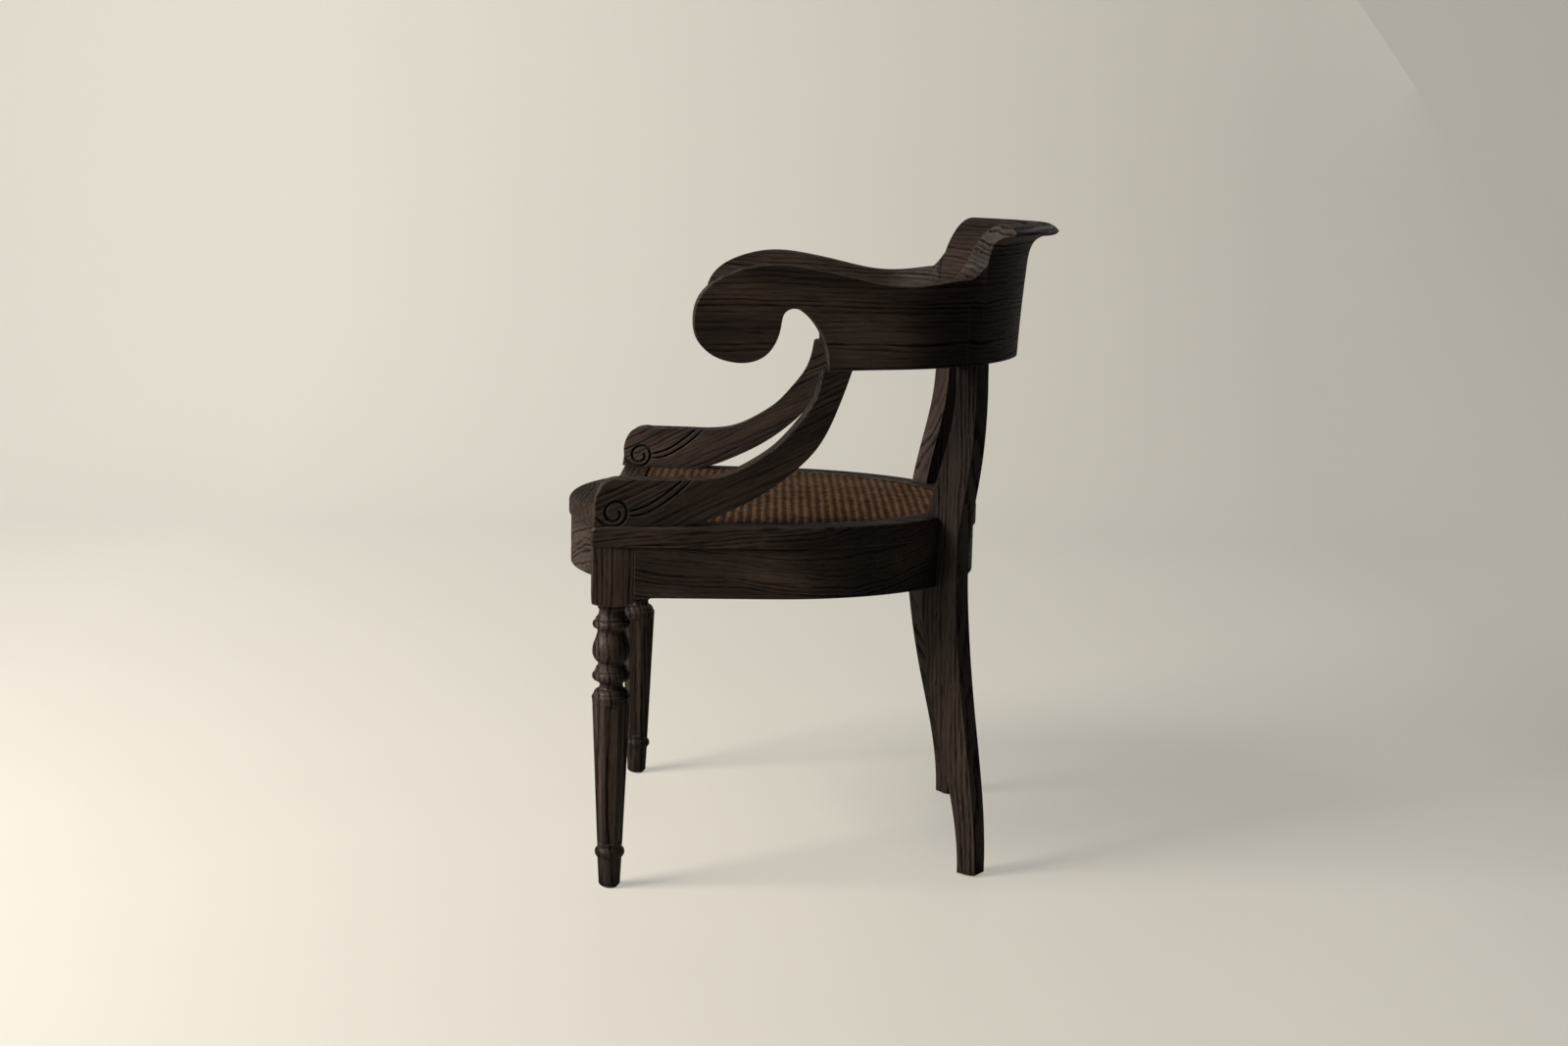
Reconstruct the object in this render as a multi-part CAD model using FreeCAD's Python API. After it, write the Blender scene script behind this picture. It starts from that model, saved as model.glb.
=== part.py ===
import FreeCAD, Part
import math
import os

os.makedirs("parts", exist_ok=True)
V = FreeCAD.Vector

# Overall sizes, in millimetres
overall_depth = 644.5
overall_height = 837.5
leg_span = 608.0
seat_height = 464.0

# Plan of the seat and the bow
bow_overhang = 33.0
lip_reach = 50.0
front_radius = 290.0
front_bulge = 52.5
corner_blend = 30.0
side_flare = 3.6
rim_overhang = 3.0

# Seat rim, rails and cane
rim_thick = 26.0
rim_border = 32.0
rim_lip = 12.0
front_nose = 9.0
side_nose = 4.0
rail_height = 63.5
rail_thick = 22.0
cane_thick = 3.0
cane_crown = 6.0
groove_width = 4.0
groove_depth = 8.0

# Bow: the two arms and the crest board
bow_thick = 30.0
bow_height = 181.0
bow_slope = 0.028
toe_angle = 6.5
crest_angle = 53.2
joint_angle = 45.0
arm_front = 100.0
arm_high = 127.9
arm_low = 103.8
shoulder_high = 111.5

# Legs and supports
block_size = 51.0
turned_radius = 24.0
support_thick = 32.0
rear_angle = 55.5
rear_width = 32.0
glide_thick = 2.0
glide_radius = 10.0
flute_count = 6
flute_angle = 42.0
flute_floor = 0.885

# Joinery
tenon_thick = 12.0
tenon_height = 40.0
tenon_depth = 14.0
stub_thick = 12.0
stub_width = 18.0
stub_length = 26.0
dowel_radius = 5.0
pin_radius = 4.0
screw_radius = 2.0
head_radius = 4.0
corner_block_thick = 30.0

# Worked out from the sizes above
UP = V(0, 0, 1)
rim_bottom = seat_height - rim_thick
rail_bottom = rim_bottom - rail_height
bow_bottom = overall_height - bow_height
arm_gap = bow_bottom - seat_height
bow_outer = leg_span / 2 + bow_overhang
lip_radius = bow_outer + lip_reach
bow_y = overall_depth / 2 - lip_radius
apron_front = -overall_depth / 2 + rim_overhang
front_center = apron_front + front_radius
leg_line = apron_front + front_bulge
corner = V(leg_span / 2, leg_line, 0)


def direction(angle):
    """Unit vector in plan at an angle from +X."""
    return V(math.cos(math.radians(angle)), math.sin(math.radians(angle)), 0)


def line(a, b):
    return Part.makeLine(a, b)


def arc(a, b, c):
    return Part.Arc(a, b, c).toShape()


def spline(points):
    curve = Part.BSplineCurve()
    curve.interpolate(points)
    return curve.toShape()


def face(edges):
    return Part.Face(Part.Wire(Part.__sortEdges__(edges)))


def polygon(points):
    return Part.Face(Part.makePolygon(points + points[:1]))


def box(x0, x1, y0, y1, z0, z1):
    return Part.makeBox(x1 - x0, y1 - y0, z1 - z0, V(x0, y0, z0))


def cylinder(radius, start, end):
    axis = end - start
    return Part.makeCylinder(radius, axis.Length, start, axis)


def one(shape):
    """The single solid of a shape, with leftover seams merged."""
    shape = shape.removeSplitter()
    return max(shape.Solids, key=lambda s: s.Volume)


def mirrored(shape):
    return shape.mirror(V(0, 0, 0), V(1, 0, 0))


def radial(shape):
    """Moves a shape from the rear leg's own frame, x outward from the bow's centre."""
    moved = shape.copy()
    moved.rotate(V(0, 0, 0), UP, rear_angle)
    moved.translate(V(0, bow_y, 0))
    return moved


def beside(shape):
    """Moves a shape from the support's own frame, x backward from the leg's front corner, y inward."""
    moved = shape.copy()
    moved.rotate(V(0, 0, 0), UP, 90 + toe_angle)
    moved.translate(corner)
    return moved


def flip(point):
    return V(-point.x, point.y, point.z)


def side(points, base=0.0, rise=1.0):
    """Points of a side view, from distances and heights above a base."""
    return [V(x, 0, base + z * rise) for x, z in points]


inward = direction(toe_angle) * -1
along = direction(90 + toe_angle)
bow_center = V(0, bow_y, 0)
block_back = corner + along * block_size
apron_radius = (block_back - bow_center).dot(direction(side_flare))


def seat_outline(inset):
    """Closed plan outline of the seat, a distance inside the rails' outer faces."""
    back = apron_radius - inset
    front = front_radius - inset
    tangent = V(0, bow_y, 0) + direction(side_flare) * back
    run = (tangent.y - leg_line - inset) / math.cos(math.radians(side_flare))
    tip = tangent + direction(side_flare - 90) * run
    reach = front_radius + corner_blend
    fall = front_center - leg_line + corner_blend
    center = V(math.sqrt(reach**2 - fall**2), leg_line - corner_blend, 0)
    bulge = V(0, front_center, 0)
    blend_start = V(center.x, leg_line + inset, 0)
    blend_end = bulge + (center - bulge) * (front / reach)
    toward = (blend_start - center).normalize() + (blend_end - center).normalize()
    blend_mid = center + toward.normalize() * (corner_blend + inset)
    half = [line(tangent, tip), line(tip, blend_start), arc(blend_start, blend_mid, blend_end)]
    other = [mirrored(edge) for edge in half]
    front_arc = arc(blend_end, bulge - V(0, front, 0), flip(blend_end))
    back_arc = arc(tangent, V(0, bow_y + back, 0), flip(tangent))
    return face(half + other + [front_arc, back_arc])


def seat_plate(inset, low, high):
    plate = seat_outline(inset).extrude(V(0, 0, high - low))
    plate.translate(V(0, 0, low))
    return plate


def seat_ring(outer, inner, low, high):
    return seat_plate(outer, low, high).cut(seat_plate(inner, low - 1, high + 1))


# The underside of the bow rises a little toward the back.
def underside(y):
    return bow_bottom + bow_slope * (y - leg_line - 280)


far = 2 * overall_depth
sky = 2 * overall_height
above = [V(-far, -far, underside(-far)), V(-far, far, underside(far)), V(-far, far, sky), V(-far, -far, sky)]
above = polygon(above).extrude(V(2 * far, 0, 0))

# Plan of the bow: straight arm, tight bend, then the crest's wide arc
crest_end = bow_center + direction(crest_angle) * bow_outer
gap = (corner - crest_end).dot(direction(toe_angle))
bend_radius = gap / (1 - direction(crest_angle).dot(direction(toe_angle)))
bend_center = crest_end - direction(crest_angle) * bend_radius


def bend(angle, radius):
    return bend_center + direction(angle) * radius


def bow_strip():
    """Plan strip of an arm's board: the straight arm and the bend up to the joint with the crest."""
    inner = bend_radius - bow_thick
    middle = (toe_angle + joint_angle) / 2
    edges = [line(bend(joint_angle, bend_radius), bend(joint_angle, inner))]
    for shift, radius in ((0, bend_radius), (bow_thick, inner)):
        edges.append(arc(bend(toe_angle, radius), bend(middle, radius), bend(joint_angle, radius)))
        edges.append(line(corner + along * arm_front + inward * shift, bend(toe_angle, radius)))
    edges.append(line(corner + along * arm_front, corner + along * arm_front + inward * bow_thick))
    strip = face(edges).extrude(V(0, 0, 2 * bow_height))
    strip.translate(V(0, 0, bow_bottom - bow_height / 2))
    return strip


# Side view of an arm: its top line, its scroll and the hook below, backward from the leg's corner
arm_line = [(470, shoulder_high), (446, 110.8), (418, 106.6), (388, arm_low), (355, 105.6), (313, 114)]
arm_line += [(262, 123.8), (219.5, arm_high), (190, 124.7), (161, 115.3), (139.5, 102.5), (124.5, 83)]
arm_line += [(120, 59.5), (124.5, 36.5), (141, 18.6), (164, 10), (187, 9.2), (207, 17.3), (221, 36)]
arm_line += [(226.4, 55.5), (231, 70.5), (242, 75.4), (255, 70.3), (268, 58), (279, 39.5), (284.4, 22)]
arm_line.append((286, 0))
arm_rest = side([(286, 0), (286, -40), (900, -40), (900, shoulder_high), (470, shoulder_high)], bow_bottom)
arm_edges = [spline(side(arm_line, bow_bottom))] + [line(a, b) for a, b in zip(arm_rest, arm_rest[1:])]
arm_side = face(arm_edges).extrude(V(0, leg_span, 0))
arm_side.translate(V(0, -leg_span / 2, 0))
arm = bow_strip().common(beside(arm_side)).common(above)

# Crest: the board's section turned about the bow's centre, rolling over backward into a lip
inner_line = [(-30, -16.5), (-29.8, 43.5), (-28.3, 93.5), (-25.2, 117.5), (-17.5, 139.5), (-5, 160)]
inner_line += [(6.5, 172), (18, 178.6), (31, bow_height)]
outer_line = [(0, -16.5), (3, 43.5), (6.4, 88.5), (9.8, 125.5), (13.5, 146.5), (20, 158), (30, 164.1)]
outer_line.append((40, 166.3))
lip = side([(40, 166.3), (47.5, 167.7), (50, 171), (41.6, bow_height - 2.6), (31, bow_height)], bow_bottom)
crest_edges = [spline(side(inner_line, bow_bottom)), spline(side(outer_line, bow_bottom))]
crest_edges += [arc(*lip[0:3]), arc(*lip[2:5])]
crest_edges.append(line(V(-30, 0, bow_bottom - 16.5), V(0, 0, bow_bottom - 16.5)))
crest_section = face(crest_edges)
crest_section.translate(V(bow_outer, 0, 0))
crest = crest_section.revolve(V(0, 0, 0), UP, 180 - 2 * crest_angle)
crest.rotate(V(0, 0, 0), UP, crest_angle)
crest.translate(bow_center)


# Shoulder: the low end of the crest board that sweeps up to the roll
def shoulder_section(share, spread, rise):
    """Upright section of the board, part of the way from the joint to the roll."""
    angle = joint_angle + (crest_angle - joint_angle) * share
    top = bow_bottom + shoulder_high + rise
    low = [bend(angle, bend_radius - bow_thick), bend(angle, bend_radius)]
    high = [bend(angle, bend_radius - bow_thick + spread * 0.8), bend(angle, bend_radius + spread)]
    corners = [low[0] + UP * (bow_bottom - 16.5), low[1] + UP * (bow_bottom - 16.5)]
    corners += [high[1] + UP * top, high[0] + UP * top]
    return Part.makePolygon(corners + corners[:1])


steps = ((0, 0, 0), (0.33, 0.6, 2.2), (0.67, 3.4, 8.6), (1, 10.8, 20))
shoulder = Part.makeLoft([shoulder_section(*step) for step in steps], True, False)
crest = crest.fuse([shoulder, mirrored(shoulder)]).common(above)

# Rear leg: a sabre curve from floor to bow, standing square to the bow
inner_low = [(-5.5, 0), (-19, 0.226), (-38, 0.379), (-56.5, 0.55), (-69.5, 0.744), (-69, 0.948)]
inner_high = [(-54, 0.229), (-37, 0.54), (-30, 0.914)]
outer_low = [(20, 0), (13, 0.226), (-4, 0.47), (-17, 0.711), (-18, 0.97)]
outer_high = [(-7, 0.291), (-0.5, 0.655), (0, 0.914)]
leg_top = seat_height + 1.2 * arm_gap
leg_edges = []
for low, high in ((inner_low, inner_high), (outer_low, outer_high)):
    curve = side(low, 0, seat_height) + side(high, seat_height, arm_gap)
    leg_edges += [spline(curve), line(curve[-1], V(curve[-1].x, 0, leg_top))]
leg_edges.append(line(V(-5.5, 0, 0), V(20, 0, 0)))
leg_edges.append(line(V(-30, 0, leg_top), V(0, 0, leg_top)))
leg_side = face(leg_edges).extrude(V(0, 2 * rear_width, 0))
leg_side.translate(V(bow_outer, -rear_width, 0))
# Seen from behind, the leg narrows a little toward the foot and toward the bow.
half = rear_width / 2
low = [V(0, half - 3, 0), V(0, half - 0.75, rail_bottom / 2), V(0, half, rail_bottom)]
high = [V(0, half, seat_height), V(0, half - 0.5, (seat_height + leg_top) / 2), V(0, half - 2, leg_top)]
leg_front = [arc(*low), line(low[2], high[0]), arc(*high)]
leg_front += [edge.mirror(V(0, 0, 0), V(0, 1, 0)) for edge in leg_front]
leg_front.append(line(low[0], V(0, -low[0].y, 0)))
leg_front.append(line(high[2], V(0, -high[2].y, leg_top)))
leg_front = face(leg_front).extrude(V(2 * bow_outer, 0, 0))
standing = box(0, 2 * bow_outer, -rear_width, rear_width, glide_thick, 2 * overall_height)
rear_leg = radial(leg_side.common(leg_front).common(standing)).cut(above)
stub_mid = bow_outer - bow_thick / 2
stub_top = underside(bow_y + stub_mid * math.sin(math.radians(rear_angle))) + stub_length
stub = box(-stub_thick / 2, stub_thick / 2, -stub_width / 2, stub_width / 2, 0, stub_length + 12)
stub.translate(V(stub_mid, 0, stub_top - stub_length - 12))
rear_stub = radial(stub)

# Front leg: a turned shaft below a square block, drawn 24.7 in radius for a rail 374.5 above the floor
leg_share = rail_bottom / 374.5
leg_slim = turned_radius / 24.7
shaft_low = V(16.2, 0, 54)
shaft_high = V(24.4, 0, 241)


def at(radius, height):
    return V(radius * leg_slim, 0, height * leg_share)


def profile(start, steps):
    """Edges of a turned profile: each step is a line's end, or an arc's middle and end."""
    edges = []
    for step in steps:
        points = [at(*step[i : i + 2]) for i in range(0, len(step), 2)]
        edges.append(line(start, points[0]) if len(points) == 1 else arc(start, *points))
        start = points[-1]
    return edges


foot = profile(V(11.3, 0, glide_thick), [(13.3, 3.7, 14, 8), (15.8, 39), (19.4, 45.5, 15.8, 52)])
foot += profile(at(15.8, 52), [(shaft_low.x, shaft_low.z), (shaft_high.x, shaft_high.z), (24.7, 244)])
neck = [(24.5, 247, 22.8, 248.5), (21.4, 253, 18.1, 255.6), (16.5, 256), (15.2, 259.5, 15.6, 263)]
neck += [(18.5, 265.8), (24.7, 272.6, 22.4, 277), (21, 277.3), (21.3, 279.2, 20.5, 281), (19.5, 281.4)]
neck += [(19.5, 283.6, 17.3, 285), (17.2, 289)]
vase = [(17.2, 289), (20.6, 292.3), (24, 298.6), (24.6, 306), (23, 314), (20.1, 321.5), (18.4, 328)]
rings = [(18.4, 331.5), (19.9, 332.2), (24.7, 338, 22.8, 342), (20.1, 342.6), (20.9, 344.8, 19.7, 347)]
rings += [(18.3, 347.4), (17, 351.5, 16.4, 356), (18, 358), (18, 372), (0, 372)]
turned = foot + profile(at(24.7, 244), neck) + profile(at(18.4, 328), rings)
turned.append(spline([at(*point) for point in vase]))
turned.append(line(at(0, 372), V(0, 0, glide_thick)))
turned.append(line(V(0, 0, glide_thick), V(11.3, 0, glide_thick)))
shaft = face(turned).revolve(V(0, 0, 0), UP, 360)


def flute_end(spot, rise):
    """Section of one flute's cutter: a hollow floor between two sides that open outward."""
    radius = at(spot.x, 0).x
    height = at(0, spot.z).z + rise
    half_angle = math.radians(flute_angle / 2)
    near = V(radius * math.cos(half_angle), -radius * math.sin(half_angle), height)
    far = V(near.x, -near.y, height)
    out = V(40 - near.x, 0, 0)
    edges = [arc(near, V(radius * flute_floor, 0, height), far), line(far, far + out)]
    return Part.Wire(edges + [line(far + out, near + out), line(near + out, near)])


flute = Part.makeLoft([flute_end(shaft_low, 4), flute_end(shaft_high, -3)], True, True)
flutes = []
for i in range(flute_count):
    turn = flute.copy()
    turn.rotate(V(0, 0, 0), UP, i * 360 / flute_count + 5 - toe_angle - 90)
    flutes.append(turn)
shaft = shaft.cut(flutes)
# The block's lower corners are rounded off on the lathe.
square = box(-block_size / 2, block_size / 2, -block_size / 2, block_size / 2, 358 * leg_share, rim_bottom)
reach = 0.75 * block_size
pommel = profile(at(18, 358), [(18, 363), (0.45 * block_size, 363)])
pommel += profile(at(0.45 * block_size, 363), [(0.63 * block_size, 365.8, reach, 372)])
pommel += [line(at(reach, 372), V(reach, 0, rim_bottom)), line(V(reach, 0, rim_bottom), V(0, 0, rim_bottom))]
pommel += [line(V(0, 0, rim_bottom), at(0, 358)), line(at(0, 358), at(18, 358))]
square = square.common(face(pommel).revolve(V(0, 0, 0), UP, 360))
front_leg = shaft.fuse(square)
front_leg.translate(V(block_size / 2, block_size / 2, 0))
front_leg = one(beside(front_leg))
leg_axis = corner + along * (block_size / 2) + inward * (block_size / 2)
leg_block = beside(box(0, block_size, 0, block_size, rail_bottom - 20, rim_bottom))

# Arm support: a flat board that sweeps from the seat's corner up to the arm, heights as shares of the gap
knuckle = [(2.5, 0.083), (2, 0.135), (3.5, 0.18), (7.6, 0.229), (12.5, 0.265), (21, 0.29), (38, 0.296)]
support_top = [(105, 0.296), (132, 0.299), (161, 0.325), (195, 0.408), (225, 0.517), (249, 0.652)]
support_top += [(269.5, 0.805), (279, 1.0), (283, 1.18)]
support_low = [(114, 0), (137, 0.032), (163, 0.088), (204, 0.197), (242, 0.338), (275, 0.514)]
support_low += [(296, 0.727), (311, 0.94), (326, 1.18)]
outlines = [side(points, seat_height, arm_gap) for points in (knuckle, support_top, support_low)]
heel = V(0.5, 0, seat_height)
support_edges = [spline(points) for points in outlines]
support_edges += [line(heel, outlines[0][0]), line(outlines[2][0], heel)]
support_edges += [line(outlines[0][-1], outlines[1][0]), line(outlines[1][-1], outlines[2][-1])]
support = face(support_edges).extrude(V(0, support_thick, 0))
support = beside(support).cut(above)

# Rails under the seat
rail_ring = seat_ring(0, rail_thick, rail_bottom, rim_bottom)
leg_slot = radial(box(0.6 * bow_outer, 2 * bow_outer, -half, half, 0, overall_height))
rails = rail_ring.cut([leg_slot, mirrored(leg_slot), leg_block, mirrored(leg_block)])
rails = sorted(rails.Solids, key=lambda s: -s.Volume)[:4]
back_rail = max(rails, key=lambda s: s.CenterOfMass.y)
front_rail = min(rails, key=lambda s: s.CenterOfMass.y)
side_rail = max(rails, key=lambda s: s.CenterOfMass.x)

# Tenons grow out of the rails into the legs.
tenon_low = rail_bottom + 12
tenon_high = tenon_low + tenon_height
mid = rail_thick / 2
rear_mid = apron_radius - mid
tenon_y = rear_width / 2 - tenon_depth
rear_tenon = box(rear_mid - tenon_thick / 2, rear_mid + tenon_thick / 2, tenon_y, 26, tenon_low, tenon_high)
back_tenon = radial(rear_tenon)
side_tenon = radial(rear_tenon.mirror(V(0, 0, 0), V(0, 1, 0)))
front_tenon = beside(box(mid - 2, mid + 10, block_size - tenon_depth, block_size + 12, tenon_low, tenon_high))
side_front = box(block_size - tenon_depth, block_size + 12, mid - 6, mid + 6, tenon_low, tenon_high)
side_front = beside(side_front)


def with_tenon(rail, tenon, leg):
    """A rail with the part of a tenon bar that reaches into the leg."""
    return rail.fuse(tenon.common(leg))


side_rail = with_tenon(with_tenon(side_rail, side_tenon, rear_leg), side_front, front_leg)
back_rail = with_tenon(back_rail, back_tenon, rear_leg)
back_rail = with_tenon(back_rail, mirrored(back_tenon), mirrored(rear_leg))
front_rail = with_tenon(front_rail, front_tenon, front_leg)
front_rail = with_tenon(front_rail, mirrored(front_tenon), mirrored(front_leg))

# Rim on top of the rails, in four pieces, with a rebate and a groove for the cane
rim = seat_ring(-rim_overhang, rim_border + rim_lip, rim_bottom, seat_height)
rebate = seat_plate(rim_border, seat_height - cane_thick - 0.5, seat_height + 1)
groove = seat_ring(rim_border, rim_border + groove_width, seat_height - groove_depth, seat_height + 1)


def outer_edges(height, front):
    """Outer edges of the rim at a height, along its front or along its sides and back."""
    core = seat_outline(0)
    core.translate(V(0, 0, height))
    found = []
    for edge in rim.Edges:
        level = edge.BoundBox.ZLength < 0.1 and abs(edge.BoundBox.ZMax - height) < 0.2
        outside = edge.common(core).Length < 0.1
        if level and outside and (edge.BoundBox.YMax < leg_line + 1) == front:
            found.append(edge)
    return found


rim = rim.makeFillet(front_nose, outer_edges(seat_height, True))
rim = rim.makeFillet(side_nose, outer_edges(seat_height, False) + outer_edges(rim_bottom, True))
rim = rim.cut([rebate, groove, rear_leg, mirrored(rear_leg)])
split_x = corner.x - block_size - 8
front_cut = box(-split_x, split_x, -500, leg_line + 60, 400, 500)
back_cut = radial(box(0, 500, 0, 900, 400, 500))
back_cut = back_cut.common(mirrored(back_cut))
rim_front = rim.common(front_cut)
rim_back = rim.common(back_cut)
rim_sides = rim.cut([front_cut, back_cut])
rim_side = rim_sides.common(box(0, 500, -500, 500, 400, 500))

# Cane panel, slightly crowned, and the strip that wedges its edge into the groove
cane_low = seat_height - cane_thick - 0.5
cane = seat_plate(rim_border + groove_width, cane_low, cane_low + cane_thick)
cane_y = (apron_front + bow_y + apron_radius) / 2
dome_half = apron_radius - rim_border - groove_width - 18
dome_radius = (dome_half**2 + cane_crown**2) / (2 * cane_crown)
dome_center = V(0, cane_y, cane_low + cane_thick + cane_crown - dome_radius)
dome = Part.makeSphere(dome_radius, dome_center)
cane_top = seat_plate(rim_border + groove_width, cane_low, cane_low + 20).common(dome)
hollow = dome.copy()
hollow.translate(V(0, 0, -cane_thick))
cane = one(cane.fuse(cane_top).cut(hollow))
spline_strip = seat_ring(rim_border, rim_border + groove_width, seat_height - groove_depth, seat_height)

# Corner blocks inside the rails
block_low = rail_bottom + 8
block_high = rim_bottom
inside = seat_plate(rail_thick, block_low, block_high)
rear_face = apron_radius - rail_thick - corner_block_thick
rear_block = radial(box(rear_face, apron_radius, -62, 62, block_low, block_high))
rear_block = rear_block.common(inside).cut([rear_leg, mirrored(rear_leg)])
front_wide = block_size + 71
front_long = block_size + 59
front_spots = [corner - V(front_wide, 0, 0), corner, corner + V(0, front_long, 0)]
front_block = polygon([p + V(0, 0, block_low) for p in front_spots]).extrude(V(0, 0, block_high - block_low))
front_block = front_block.common(inside).cut(front_leg)

# Fasteners and pins
def screw(head, way, length):
    """Countersunk screw from its head's face along a direction."""
    neck_depth = head_radius - screw_radius
    tapered = Part.makeCone(head_radius, screw_radius, neck_depth, head, way)
    return tapered.fuse(cylinder(screw_radius, head + way * neck_depth, head + way * length))


block_mid = (block_low + block_high) / 2 - 4
screw_length = 40.0
pocket_depth = 22.0
side_screws = []
for side_step in (-38, 38):
    side_screws.append(radial(screw(V(rear_face, side_step, block_mid), V(1, 0, 0), screw_length)))
pocket_spots = [radial(Part.Vertex(rear_face + 15, 0, block_low)).Point]
pocket_spots.append(V(corner.x - 72, leg_line + 37, block_low))
pockets = []
for spot in pocket_spots:
    lift = V(0, 0, pocket_depth)
    pockets.append(cylinder(head_radius + 1, spot - V(0, 0, 1), spot + lift))
    side_screws.append(screw(spot + lift, UP, block_high + 12 - block_low - pocket_depth))
slant = (front_spots[2] - front_spots[0]).normalize()
seat_depth = 6.0
for share, way in ((0.33, V(0, -1, 0)), (0.66, direction(side_flare))):
    face_spot = front_spots[0] + (front_spots[2] - front_spots[0]) * share + V(0, 0, block_mid)
    head = face_spot + way * seat_depth
    pockets.append(cylinder(head_radius + 1, head - way * 20, head))
    side_screws.append(screw(head, way, 24))
rear_block = rear_block.cut(side_screws + pockets)
front_block = front_block.cut(side_screws + pockets)


def pin(radius, middle, way, reach_back, reach_on):
    """Dowel through a joint, reaching a length to each side of it."""
    return cylinder(radius, middle - way * reach_back, middle + way * reach_on)


# Dowels of the rim
rim_dowels = []
for y in (leg_line + 7, leg_line + 24):
    rim_dowels.append(pin(pin_radius, V(split_x, y, rim_bottom + 9), V(1, 0, 0), 18, 18))
rear_spot = radial(Part.Vertex(apron_radius - rim_border, 0, rim_bottom + 9)).Point
rim_dowels.append(pin(3.0, rear_spot, direction(rear_angle + 90), 12, 12))

# Dowels between arm and crest
arm_dowels = []
for z in (underside(bow_y) + 45, underside(bow_y) + 85):
    middle = bend(joint_angle, bend_radius - bow_thick / 2) + V(0, 0, z)
    arm_dowels.append(pin(dowel_radius, middle, direction(joint_angle + 90), 22, 22))

# Dowels from each support up into the arm and down through the rim into the leg
support_dowels = []
for x in (291, 303):
    middle = V(x, bow_thick / 2, bow_bottom)
    support_dowels.append(beside(pin(pin_radius, middle, UP, 15, 24)))
support_mid = support_thick / 2
support_dowels.append(beside(pin(dowel_radius, V(22, support_mid, seat_height), UP, rim_thick + 45, 28)))
support_dowels.append(beside(pin(dowel_radius, V(75, support_mid, seat_height), UP, 20, 25)))


def glide(spot):
    """Foot glide with the pin that holds it in the leg."""
    disc = Part.makeCylinder(glide_radius, glide_thick, spot)
    return disc.fuse(Part.makeCylinder(screw_radius, 12, spot + UP * glide_thick))


rear_foot = radial(Part.Vertex(bow_outer + 7, 0, 0)).Point
glides = [glide(leg_axis), glide(rear_foot)]

# Every joint is cut to the piece that enters it.
rear_leg = one(rear_leg.fuse(rear_stub)).cut([side_rail, back_rail] + glides)
front_leg = front_leg.cut([side_rail, front_rail] + glides + support_dowels)
crest = crest.cut([rear_leg, mirrored(rear_leg)] + arm_dowels + [mirrored(d) for d in arm_dowels])
arm = arm.cut(arm_dowels + support_dowels)
support = support.cut(support_dowels)
side_pins = side_screws + support_dowels + rim_dowels
both_pins = side_pins + [mirrored(p) for p in side_pins]
rim_front = rim_front.cut(both_pins)
rim_back = rim_back.cut(both_pins)
rim_side = rim_side.cut(side_pins)
front_rail = front_rail.cut(both_pins)
back_rail = back_rail.cut(both_pins)
side_rail = side_rail.cut(side_pins)


def both(shapes):
    return Part.makeCompound(shapes + [mirrored(s) for s in shapes])


parts = {
    "crest_rail": one(crest),
    "front_rail": one(front_rail),
    "back_rail": one(back_rail),
    "seat_frame_front": one(rim_front),
    "seat_frame_back": one(rim_back),
    "seat_cane": cane,
    "cane_spline": one(spline_strip),
    "corner_block_screws": both(side_screws),
    "seat_frame_dowels": both(rim_dowels),
    "arm_joint_dowels": both(arm_dowels),
    "support_dowels": both(support_dowels),
    "foot_glides": both(glides),
}
pairs = {
    "arm": arm,
    "arm_support": support,
    "front_leg": front_leg,
    "rear_leg": rear_leg,
    "side_rail": side_rail,
    "seat_frame": rim_side,
    "corner_block_front": front_block,
    "corner_block_rear": rear_block,
}
for name, shape in pairs.items():
    parts[name + "_left"] = one(shape)
    parts[name + "_right"] = mirrored(one(shape))
for name, shape in parts.items():
    shape.exportStep("parts/" + name + ".step")
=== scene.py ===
import bpy
import bmesh
import math
import numpy as np
from mathutils import Matrix, Vector


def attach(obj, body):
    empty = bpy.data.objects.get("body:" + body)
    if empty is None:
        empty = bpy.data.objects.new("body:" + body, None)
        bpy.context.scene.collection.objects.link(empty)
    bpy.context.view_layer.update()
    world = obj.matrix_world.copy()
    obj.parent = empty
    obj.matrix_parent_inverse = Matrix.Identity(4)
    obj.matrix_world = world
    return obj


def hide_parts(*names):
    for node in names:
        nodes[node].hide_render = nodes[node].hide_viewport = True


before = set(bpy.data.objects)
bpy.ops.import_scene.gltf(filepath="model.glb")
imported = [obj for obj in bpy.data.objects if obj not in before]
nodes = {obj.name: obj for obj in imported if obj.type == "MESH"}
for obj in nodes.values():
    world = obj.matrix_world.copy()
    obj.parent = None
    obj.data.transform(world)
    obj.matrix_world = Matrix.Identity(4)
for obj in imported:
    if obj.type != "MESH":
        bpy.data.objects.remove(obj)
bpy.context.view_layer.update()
scene = bpy.context.scene

# Plan of the chair as in the CAD model, in metres
BOW_Y = -0.06475
APRON_R = 0.288
FRONT_R = 0.290
FRONT_Y = -0.02925
LEG_Y = -0.26675
BLEND = 0.030
FLARE = math.radians(3.6)
TOE = math.radians(6.5)
CORNER = Vector((0.304, LEG_Y, 0))
BACKWARD = Vector((-math.sin(TOE), math.cos(TOE), 0))
OUTWARD = Vector((math.cos(TOE), math.sin(TOE), 0))
BEND = (0.11024, 0.08261)
CREST_TURN = math.radians(53.2)
REAR_TURN = math.radians(55.5)
SUPPORT_THICK = 0.032

# Camera fitted to the photograph's perspective
CAMERA_PLACE = Vector((3.032, -0.04845, 0.8971))
CAMERA_PITCH = math.radians(8.84)
CAMERA_YAW = math.radians(-0.311)
CAMERA_ROLL = math.radians(1.265)
FOCAL_PIXELS = 2309.2
PHOTO_WIDTH = 1600
SENSOR = 36.0


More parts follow.
